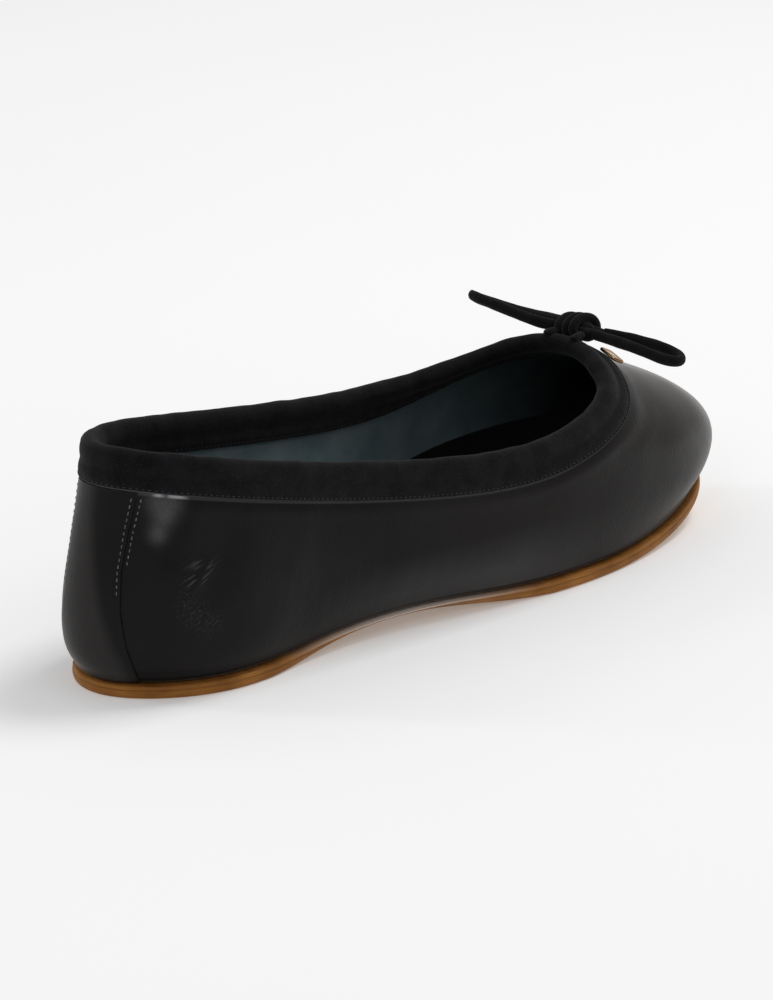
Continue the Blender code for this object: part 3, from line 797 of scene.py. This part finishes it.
# Lining: thin petrol-blue goatskin stuck to the back of the calf, with a soft mottle where it was stretched
# over the last. Below a seam that climbs towards the toe it gives way to black cloth, and deep in the toe
# its
# colour fades to near black: painted shade.
LINING_GAP = 0.00004
LINING_UNEVEN = 0.00012
LINING_PATCH = 0.012
TOE_SEAM = (0.0112, 0.0115)
TOE_SEAM_SLOPE = 0.074
TOE_SHADE = (0.150, 0.190)

lining_finish, field, shader = new_finish("petrol_lining", {"Specular IOR Level": 0.35})
skin_patches = mottle(field, LINING_PATCH, 4.0)
skin_grain = mottle(field, 0.0009, 4.0)
along = own_place(field, "X")
height = own_place(field, "Z")
over_seam = step_up(height - along * TOE_SEAM_SLOPE, *TOE_SEAM)
# Petrol goatskin with its own mottle, painted shade deep in the toe, and black cloth below the seam
petrol = lay_over(
    (0.084, 0.130, 0.147),
    (step_up(skin_patches, 0.32, 0.68), (0.142, 0.188, 0.200)),
    (step_up(skin_grain, 0.55, 0.80) * 0.4, (0.185, 0.225, 0.235)),
    (step_up(along, *TOE_SHADE), (0.0035, 0.0042, 0.0050)),
    (1 - over_seam, (0.0048, 0.0045, 0.0056)),
)
field.feed(shader.inputs["Base Color"], petrol)
field.feed(shader.inputs["Roughness"], 0.58 + 0.20 * skin_grain)
field.feed(shader.inputs["Normal"], relief(skin_grain + skin_patches * 0.6, 0.00016))

lining_back = wall - wall_out * (CALF_THICKNESS + LINING_GAP)
lining_face = wall - wall_out * (WALL + LINING_UNEVEN * waves(wall, LINING_PATCH, 9.1)[:, :, None])
lining_loops = np.concatenate([lining_back, lining_face[:, ::-1]], axis=1)
make_ring("lining", lining_loops, lining_finish, "black_sock")


# Back strip: a narrow strip of the same calf over the closing seam, pared thin along its edges and where it
# goes under the sole. A row of grey waxed thread holds each edge down, with another in the calf beside it.
STRIP_THICKNESS = 0.0009
STRIP_REACH = [0.72, 0.60, 0.54, 0.56, 0.66, 0.80]
STRIP_COLUMNS = 44
STRIP_LOWEST = 3
STRIP_ROUNDING = 14
STRIP_EDGE = 0.12
STRIP_CROWN = 0.10
STRIP_PARED = 1 / 24
STRIP_STITCH_SHARE = 0.92
STRIP_STITCH_DEPTH = 0.70
STITCH_GROOVE = (0.30, 0.05)
STITCHED_FROM = 0.47
BESIDE_STRIP = 1.10
BESIDE_STARTS_LATER = 6
THREAD = 0.00034
STITCH_LENGTH = 0.0011
STITCH_GAP = 0.0006
STITCH_SIDES = 6
STITCH_BENDS = 6

# The strip's painted highlight band, as shares of its half width from the middle: its left edge, and its
# right edge, which moves in as the strip goes up, and the width over which it fades there.
SHINE_LEFT = (-0.95, -0.60)
SHINE_RIGHT = (0.95, 0.15)
SHINE_NARROWS = (1 / 7, 6 / 7)
SHINE_FADE = 0.30


def tube_faces(rings, sides):
    """The faces round rings of points that follow each other, and one over each end."""
    last = (rings - 1) * sides
    return [*ring_faces(rings, sides, closed=False), tuple(range(sides)), tuple(range(last, last + sides))]


def join_meshes(meshes):
    """One set of points and faces from several."""
    points, faces = [], []
    for more_points, more_faces in meshes:
        start = len(points)
        points += list(more_points)
        faces += [tuple(start + k for k in face) for face in more_faces]
    return points, faces


def stitch_row(route, outs):
    """Points and faces of a row of stitches: short rounded bars of thread that dip in at both ends."""
    run = run_along(route)
    count = int(run[-1] / (STITCH_LENGTH + STITCH_GAP))
    pitch = run[-1] / count
    share = np.linspace(-1, 1, STITCH_BENDS + 1)
    stitches = []
    for n in range(count):
        marks = np.clip(n * pitch + pitch / 2 + share / 2 * STITCH_LENGTH, 0, run[-1])
        centre = read_along(route, run, marks)
        out = unit(read_along(outs, run, marks))
        side = np.cross(unit(np.gradient(centre, axis=0)), out)
        centre = centre + out * (THREAD * (0.16 - 0.75 * share**4))[:, None]
        points = [
            c + (o * math.sin(turn) + s * math.cos(turn)) * r
            for c, o, s, r in zip(centre, out, side, THREAD / 2 * (1 - 0.45 * share**6))
            for turn in np.arange(STITCH_SIDES) * 2 * math.pi / STITCH_SIDES
        ]
        stitches.append((points, tube_faces(STITCH_BENDS + 1, STITCH_SIDES)))
    return join_meshes(stitches)


strip_levels = np.arange(STRIP_LOWEST, wall.shape[1] - HIGH_STEPS)
strip_up = (levels_up[0, strip_levels] - levels_up[0, STRIP_LOWEST]) / (
    levels_up[0, strip_levels[-1]] - levels_up[0, STRIP_LOWEST]
)
strip_half = np.interp(strip_up, np.linspace(0, 1, len(STRIP_REACH)), STRIP_REACH)
strip_shares = np.sin(np.linspace(-math.pi / 2, math.pi / 2, STRIP_COLUMNS + 1))


def strip_line(share, off):
    """A line up the strip: share of its half width from the middle, and how far off the wall."""
    points, outs = [], []
    for level, half in zip(strip_levels, strip_half):
        outs.append(between_stations(wall_out, share * half)[level])
        points.append(between_stations(wall, share * half)[level] + outs[-1] * off)
    points[-1] = points[-1] + unit(points[-2] - points[-1]) * CLEARANCE
    return np.array(points), np.array(outs)


# The back strip's colour carries a painted highlight band, which these weights place
strip_loops, strip_highlight_weights = [], []
for share in strip_shares:
    low_line, outs = strip_line(share, CLEARANCE)
    edge = (1 - abs(share) ** STRIP_ROUNDING) ** 0.5
    pared_edge = STRIP_EDGE + (1 - STRIP_EDGE) * edge
    crown = 1 + STRIP_CROWN * (1 - share**2)
    stitched = 1 - STITCH_GROOVE[0] * swell(abs(share) - STRIP_STITCH_SHARE, STITCH_GROOVE[1])
    pared_foot = 0.5 + 0.5 * rise(strip_up, 0, STRIP_PARED)
    thick = STRIP_THICKNESS * pared_edge * crown * stitched * pared_foot
    strip_loops.append([*(low_line + outs * thick[:, None]), *low_line[::-1]])
    right_end = SHINE_RIGHT[0] + (SHINE_RIGHT[1] - SHINE_RIGHT[0]) * rise(strip_up, *SHINE_NARROWS)
    in_highlight_band = rise(share, *SHINE_LEFT) * (1 - rise(share, right_end - SHINE_FADE, right_end))
    strip_highlight_weights.append([*in_highlight_band, *in_highlight_band[::-1]])
strip_loops = np.array(strip_loops)
columns, around_strip = strip_loops.shape[:2]
strip_faces = ring_faces(columns, around_strip, closed=False)
for start in (0, (columns - 1) * around_strip):
    half = around_strip // 2
    strip_faces += [
        (start + j, start + j + 1, start + around_strip - 2 - j, start + around_strip - 1 - j)
        for j in range(half - 1)
    ]
back_strip = make_piece("heel_strip", strip_loops.reshape(-1, 3), strip_faces, calf_finish, "black_calf")
weigh_points(back_strip, "burnish", np.ravel(strip_highlight_weights))
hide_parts("back_strip")


def thread_of(name, dark, pale):
    """Waxed thread: its twist shows as fine dark and pale turns."""
    made, field, shader = new_finish(name, {"Specular IOR Level": 0.35, "Roughness": 0.55})
    twist = mottle(field, 0.0005, 1.0)
    field.feed(shader.inputs["Base Color"], blend(step_up(twist, 0.35, 0.65), dark, pale))
    field.feed(shader.inputs["Normal"], relief(twist, 0.00008))
    return made


grey_thread = thread_of("grey_thread", (0.040, 0.040, 0.044), (0.170, 0.172, 0.180))

strip_rows = []
first = int(np.argmax(strip_up > STITCHED_FROM))
for from_middle, off, start in (
    (STRIP_STITCH_SHARE, CLEARANCE + STRIP_THICKNESS * STRIP_STITCH_DEPTH, first),
    (BESIDE_STRIP, 0.0, first + BESIDE_STARTS_LATER),
):
    for share in (-from_middle, from_middle):
        route, outs = strip_line(share, off)
        strip_rows.append(stitch_row(route[start:-1], outs[start:-1]))
make_piece("strip_stitches", *join_meshes(strip_rows), grey_thread, "black_calf")


# Collar binding: a folded strip of black suede sewn over the calf's top edge, outside and inside. The
# drawstring runs in its fold, which puffs the crest up and gathers it into small ripples.
BINDING_THICKNESS = 0.0012
BINDING_GAP = CLEARANCE * 0.9
CREST_SHARE = 1.12
CREST_EXTRA = 0.00012
GATHERED_FROM = 0.625
CROWN_STEPS = 9
STITCH_UP = 0.10
STITCH_DEPTH = 0.68
# A painted highlight along the binding's folded lower edge: its strength at the heel and further forward,
# and the rows between which it changes
HEM_HIGHLIGHT = (0.90, 0.30)
HEM_HIGHLIGHT_ROWS = (0.9, 1.9)

# The crest's ripples: their share of its thickness, size in metres and seed
RIPPLES = [(0.10, 0.0060, 5.3), (0.07, 0.0130, 1.9)]

# Up one leg of the binding: share of its width, and its thickness as a share of BINDING_THICKNESS
LEG = [
    (0.000, 0.10),
    (0.000, 0.52),
    (0.018, 0.80),
    (0.045, 0.86),
    (0.070, 0.80),
    (0.100, 0.68),
    (0.130, 0.78),
    (0.160, 0.88),
    (0.210, 0.95),
    (0.280, 0.98),
    (0.360, 0.96),
    (0.440, 0.88),
    (0.520, 0.80),
    (0.590, 0.82),
    (0.660, 0.95),
    (0.740, 1.08),
    (0.830, 1.17),
    (0.920, 1.20),
]

suede_finish, field, shader = new_finish(
    "black_suede",
    {"Specular IOR Level": 0.06, "Sheen Weight": 0.07, "Sheen Roughness": 0.45},
)
nap = mottle(field, 0.00045, 4.0)
brushed = mottle(field, 0.0055, 3.0)
tufts = mottle(field, 0.0015, 3.0)
hem = weight(field, "hem")
# Black suede with its own brushed and napped tones, and a painted highlight along its folded lower edge
suede_black_and_painted_highlight = lay_over(
    (0.0040, 0.0040, 0.0046),
    (step_up(brushed, 0.35, 0.70), (0.0088, 0.0089, 0.0099)),
    (step_up(nap, 0.50, 0.72) * 0.55, (0.018, 0.018, 0.020)),
    (hem * (0.4 + 0.8 * tufts), (0.085, 0.087, 0.092)),
)
field.feed(shader.inputs["Base Color"], suede_black_and_painted_highlight)
field.feed(shader.inputs["Roughness"], 0.86 + 0.12 * tufts)
field.feed(shader.inputs["Normal"], relief(nap * 0.7 + tufts * 0.6, 0.00022))

edge_start = wall.shape[1] - HIGH_STEPS - 1
collar_line = wall[:, -1]
top_out = wall_out[:, -1]
top_up = unit(wall[:, -1] - wall[:, -2])
plan_line = collar_line[:, None] * np.array([1.0, 1.0, 0.0])
ripple = sum(share * waves(plan_line, size, seed)[:, 0] for share, size, seed in RIPPLES)


def beside_collar(up, off):
    """A ring round the collar: up is the share of BINDING_WIDTH above its lower edge, off the way out."""
    ring = []
    level = np.linspace(0, 1, HIGH_STEPS + 1)
    for k, way in enumerate(np.broadcast_to(off, STATIONS)):
        point = read_along(wall[k, edge_start:], level, np.array([up]))[0]
        out = read_along(wall_out[k, edge_start:], level, np.array([up]))[0]
        ring.append(point + unit(out) * way)
    return np.array(ring)


def leg_ring(up, share, inside):
    """A ring on the face of one leg of the binding, more and more gathered towards the crest."""
    gather = 1 + ripple * rise(up, 0, GATHERED_FROM)
    off = CLEARANCE + BINDING_THICKNESS * share * gather
    return beside_collar(up, -(WALL + off) if inside else off)


binding_rings = [leg_ring(up, share, False) for up, share in LEG]
crown_middle = collar_line - top_out * WALL / 2
crown_radius = (WALL / 2 + CLEARANCE + BINDING_THICKNESS * CREST_SHARE + CREST_EXTRA) * (1 + ripple)
for turn in np.linspace(0, math.pi, CROWN_STEPS + 2)[1:-1]:
    around_crown = top_out * math.cos(turn) + top_up * math.sin(turn)
    binding_rings.append(crown_middle + around_crown * crown_radius[:, None])
binding_rings += [leg_ring(up, share, True) for up, share in LEG[::-1]]
binding_rings += [beside_collar(up, -(WALL + BINDING_GAP)) for up in (0.0, 0.5, 1.0)]
binding_rings.append(collar_line - top_out * (WALL + CLEARANCE) + top_up * CLEARANCE)
binding_rings.append(collar_line + top_out * CLEARANCE + top_up * CLEARANCE)
binding_rings += [beside_collar(up, BINDING_GAP) for up in (1.0, 0.5, 0.0)]
binding_loops = np.stack(binding_rings, axis=1)
binding = make_ring("suede_binding", binding_loops, suede_finish, "black_suede")
hem_highlight_share = HEM_HIGHLIGHT[0] + (HEM_HIGHLIGHT[1] - HEM_HIGHLIGHT[0]) * rise(from_back, *HEM_HIGHLIGHT_ROWS)
hem_highlight_weights = np.zeros(binding_loops.shape[:2])
hem_highlight_weights[:, :4] = hem_highlight_share[:, None] * np.array([1.0, 1.0, 1.0, 0.4])
weigh_points(binding, "hem", hem_highlight_weights.ravel())
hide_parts("collar_binding")

collar_rows = []
stitch_off = CLEARANCE + BINDING_THICKNESS * STITCH_DEPTH
stitch_out = wall_out[:, edge_start + 1]
for off, outs in ((stitch_off, stitch_out), (-(WALL + stitch_off), -stitch_out)):
    route = beside_collar(STITCH_UP, off)
    collar_rows.append(stitch_row(np.vstack([route, route[:1]]), np.vstack([outs, outs[:1]])))
black_thread = thread_of("black_thread", (0.006, 0.006, 0.007), (0.030, 0.030, 0.033))
make_piece("binding_stitches", *join_meshes(collar_rows), black_thread, "black_suede")


# Bow: the two ends of the drawstring, a round cord of folded black suede, tied at the throat. Two loops and
# two tails come out of one knot, and each tail ends in a knot of its own.
CORD = 0.0027
CORD_SIDES = 14
CORD_STEP = 0.0007
CORD_UNEVEN = 0.0045
CORD_END = 0.35
CORD_BLUNT = 0.08
KNOT = np.array([0.16932, 0.00173, 0.06095])
KNOT_WRAPS = 3.0
KNOT_WRAP_ALONG = 0.0043
KNOT_WRAP_UP = 0.0027
KNOT_WRAP_ACROSS = 0.0040
KNOT_SLANT = 0.28
KNOT_CORD = CORD * 1.05
CORE_CORD = CORD * 1.5
CORE_ACROSS = (-0.0052, -0.0020, 0.0020, 0.0052)
LOOP_TALL = 1.30
TAIL_KNOT = 0.0054
TAIL_KNOT_CORD = CORD * 0.92
TAIL_WRAPS = 1.7
TAIL_WRAP_RADIUS = 0.00150
TAIL_WRAP_ALONG = 0.00125

LOOP_OUT = [
    (0.16755, -0.00527, 0.06045),
    (0.16672, -0.01070, 0.06037),
    (0.16578, -0.01644, 0.06034),
    (0.16516, -0.02248, 0.06009),
    (0.16506, -0.02792, 0.05944),
    (0.16589, -0.03245, 0.05850),
    (0.16802, -0.03516, 0.05778),
    (0.17088, -0.03547, 0.05749),
    (0.17317, -0.03305, 0.05785),
    (0.17431, -0.02882, 0.05843),
    (0.17452, -0.02339, 0.05897),
    (0.17405, -0.01765, 0.05937),
    (0.17322, -0.01191, 0.05958),
    (0.17182, -0.00527, 0.05980),
]
LOOP_IN = [
    (0.16764, 0.00873, 0.06038),
    (0.16674, 0.01417, 0.06053),
    (0.16626, 0.02029, 0.06125),
    (0.16620, 0.02607, 0.06201),
    (0.16650, 0.03219, 0.06266),
    (0.16710, 0.03763, 0.06308),
    (0.16836, 0.04205, 0.06323),
    (0.17004, 0.04273, 0.06255),
    (0.17118, 0.03967, 0.06179),
    (0.17187, 0.03491, 0.06114),
    (0.17205, 0.02913, 0.06072),
    (0.17196, 0.02233, 0.06065),
    (0.17169, 0.01519, 0.06084),
    (0.17118, 0.00873, 0.06106),
]
TAIL_OUT = [
    (0.17372, 0.00459, 0.05716),
    (0.17631, 0.01274, 0.05338),
    (0.17716, 0.02027, 0.04863),
    (0.17783, 0.02681, 0.04342),
    (0.17815, 0.03207, 0.03708),
    (0.17832, 0.03608, 0.02976),
]
TAIL_IN = [
    (0.17176, 0.00896, 0.05648),
    (0.17003, 0.01787, 0.05350),
    (0.16685, 0.02605, 0.04878),
    (0.16202, 0.03289, 0.04305),
    (0.15781, 0.03763, 0.03608),
    (0.15532, 0.04073, 0.02883),
]
DRAWSTRING_ROWS = (7.84, 8.46)


def smooth_route(points):
    """Close points on a smooth curve through a cord's own points."""
    knots = np.array(points)
    padded = np.vstack([2 * knots[0] - knots[1], knots, 2 * knots[-1] - knots[-2]])
    dense = []
    for before, here, there, after in zip(padded, padded[1:], padded[2:], padded[3:]):
        bend = 2 * before - 5 * here + 4 * there - after
        turn = 3 * here - before - 3 * there + after
        for t in np.linspace(0, 1, 12, endpoint=False):
            dense.append(here + (there - before) * t / 2 + bend * t**2 / 2 + turn * t**3 / 2)
    dense = np.array([*dense, knots[-1]])
    run = run_along(dense)
    return read_along(dense, run, np.linspace(0, run[-1], round(run[-1] / CORD_STEP) + 1))


def cord_tube(route, thickness=CORD, tall=1.0):
    """Points and faces of a soft uneven cord, rounded at its ends and higher than wide if tall is over 1."""
    way = unit(np.gradient(route, axis=0))
    side = np.cross(way[0], (0.0, 0.0, 1.0))
    run = run_along(route)
    uneven = waves(route[:, None], CORD_UNEVEN, 2.3)[:, 0]
    points = []
    for k, (centre, ahead) in enumerate(zip(route, way)):
        side = unit(side - ahead * (side @ ahead))
        up = np.cross(side, ahead)
        from_end = min(run[k], run[-1] - run[k])
        cap = math.sqrt(max(CORD_BLUNT, 1 - max(0.0, 1 - from_end / (thickness * CORD_END)) ** 2))
        radius = thickness / 2 * (1 + 0.07 * uneven[k]) * cap
        for turn in np.arange(CORD_SIDES) * 2 * math.pi / CORD_SIDES:
            wide = 1 + 0.06 * math.cos(2 * turn) + 0.03 * math.cos(4 * turn)
            turned = side * math.cos(turn) / tall**0.6 + up * math.sin(turn) * tall
            points.append(centre + turned * radius * wide)
    return points, tube_faces(len(route), CORD_SIDES)


def helix(centre, axis, first, second, reach, turns, start=0.0):
    """The line of a cord wound round an axis: first and second are the half widths across it."""
    share = np.linspace(-0.5, 0.5, round(40 * turns))[:, None]
    turn = 2 * math.pi * turns * share + start
    return centre + axis * share * 2 * reach + first * np.cos(turn) + second * np.sin(turn)


forward, across, upright = np.eye(3)
knot_axis = across - upright * KNOT_SLANT * 0.5
lean = upright + across * KNOT_SLANT
wraps = helix(
    KNOT, knot_axis, forward * KNOT_WRAP_ALONG, lean * KNOT_WRAP_UP, KNOT_WRAP_ACROSS, KNOT_WRAPS, 0.6
)
core = [KNOT + across * y for y in CORE_ACROSS]
knot_parts = [cord_tube(smooth_route(wraps), KNOT_CORD), cord_tube(smooth_route(core), CORE_CORD)]
for loop in (LOOP_OUT, LOOP_IN):
    for end, before in ((loop[0], loop[1]), (loop[-1], loop[-2])):
        end, before = np.array(end), np.array(before)
        inner = KNOT + (end - KNOT) * np.array([0.9, 0.15, 0.6])
        knot_parts.append(cord_tube(smooth_route([end + (before - end) * 0.10, (end + inner) / 2, inner])))
for tail in (TAIL_OUT, TAIL_IN):
    end = np.array(tail[0])
    inner = KNOT + (end - KNOT) * 0.30
    knot_parts.append(cord_tube(smooth_route([end, (end + inner) / 2, inner])))
for row, side in zip(DRAWSTRING_ROWS, (-1, 1)):
    station = round(row * PER_ROW)
    start = collar_line[station] - top_up[station] * 0.0012
    over = collar_line[station] + top_up[station] * 0.0020 + top_out[station] * 0.0012
    inner = KNOT + np.array([-0.0030, side * 0.0040, -0.0010])
    knot_parts.append(cord_tube(smooth_route([start, over, (over + inner) / 2, inner])))
bow_knot = make_piece("throat_knot", *join_meshes(knot_parts), suede_finish, "black_suede")
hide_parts("bow_knot")

for name, loop in (("loop_out", LOOP_OUT), ("loop_in", LOOP_IN)):
    route = smooth_route(loop)
    piece = make_piece(name, *cord_tube(route, CORD, LOOP_TALL), suede_finish, "black_suede")
    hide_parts("bow_" + name)

for name, tail in (("tail_out", TAIL_OUT), ("tail_in", TAIL_IN)):
    route = smooth_route(tail)
    piece = make_piece(name, *cord_tube(route), suede_finish, "black_suede")
    way = unit(route[-1] - route[-3])
    middle = route[-1] + way * (TAIL_KNOT / 2 + CLEARANCE)
    side = unit(np.cross(way, upright))
    lie = np.cross(side, way)
    wound = helix(
        middle, way, side * TAIL_WRAP_RADIUS, lie * TAIL_WRAP_RADIUS, TAIL_WRAP_ALONG, TAIL_WRAPS
    )
    stub = [middle - way * 0.0028, middle, middle + way * 0.0036]
    turned = [
        middle - way * 0.0020 + side * 0.0010,
        middle + side * 0.0019 + lie * 0.0006,
        middle + way * 0.0018 - side * 0.0002 + lie * 0.0012,
    ]
    turns = join_meshes([cord_tube(smooth_route(line), TAIL_KNOT_CORD) for line in (wound, stub, turned)])
    end_knot = make_piece(name + "_end_knot", *turns, suede_finish, "black_suede")
    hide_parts("bow_" + name)
    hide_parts("bow_" + name + "_knot")


# Tag: a small plain plate of polished gilt brass, with rounded corners and a bevelled rim, pinned through
# the binding beside the bow.
TAG_MIDDLE = np.array([0.16953, -0.01091, 0.05467])
TAG_DOWN = np.array([0.89244, -0.16397, -0.42032])
TAG_OUT = np.array([0.35894, -0.32202, 0.87605])
TAG_LONG = 0.0078
TAG_WIDE = 0.0050
TAG_THICK = 0.0009
TAG_CORNER = 0.0014
TAG_CORNER_STEPS = 7

# Over the rim from front to back: how far in from the outline, in metres, how high, as a share of the
# thickness, and how dark its painted reflection is
TAG_RIM = [
    (0.00110, 0.40, 0.0),
    (0.00075, 0.42, 0.3),
    (0.00058, 0.50, 1.0),
    (0.00030, 0.50, 1.0),
    (0.00008, 0.36, 1.0),
    (0.00000, 0.15, 1.0),
    (0.00000, -0.30, 1.0),
    (0.00015, -0.50, 1.0),
]

gilt_finish, field, shader = new_finish("polished_gilt", {"Metallic": 1.0, "Specular IOR Level": 0.5})
tarnish = mottle(field, 0.0024, 3.0)
brush = mottle(field, 0.0003, 2.0, (1.0, 8.0, 1.0))
rim = weight(field, "rim")
gilt = blend(step_up(tarnish, 0.35, 0.65), (0.66, 0.34, 0.12), (0.98, 0.76, 0.46))
# The rim is painted dark brown: a painted dark reflection against the bright gilt middle
field.feed(shader.inputs["Base Color"], blend(rim * 0.85, gilt, (0.16, 0.070, 0.025)))
field.feed(shader.inputs["Roughness"], 0.16 + 0.16 * brush)
field.feed(shader.inputs["Normal"], relief(brush, 0.00002))

tag_side = np.cross(TAG_OUT, TAG_DOWN)
tag_rings = []
for distance, height, _ in TAG_RIM:
    ring = []
    for corner, (sign_down, sign_side) in enumerate(((1, 1), (-1, 1), (-1, -1), (1, -1))):
        radius = TAG_CORNER - distance
        for turn in np.linspace(0, math.pi / 2, TAG_CORNER_STEPS) + corner * math.pi / 2:
            down = sign_down * (TAG_WIDE / 2 - TAG_CORNER) + radius * math.cos(turn)
            along = sign_side * (TAG_LONG / 2 - TAG_CORNER) + radius * math.sin(turn)
            ring.append(TAG_MIDDLE + TAG_DOWN * down + tag_side * along + TAG_OUT * height * TAG_THICK)
    tag_rings.append(ring)
faces = tube_faces(len(TAG_RIM), 4 * TAG_CORNER_STEPS)
tag = make_piece("gilt_tag", np.concatenate(tag_rings), faces, gilt_finish, "gilt_metal")
weigh_points(tag, "rim", np.repeat([dark for *_, dark in TAG_RIM], 4 * TAG_CORNER_STEPS))
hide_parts("charm")
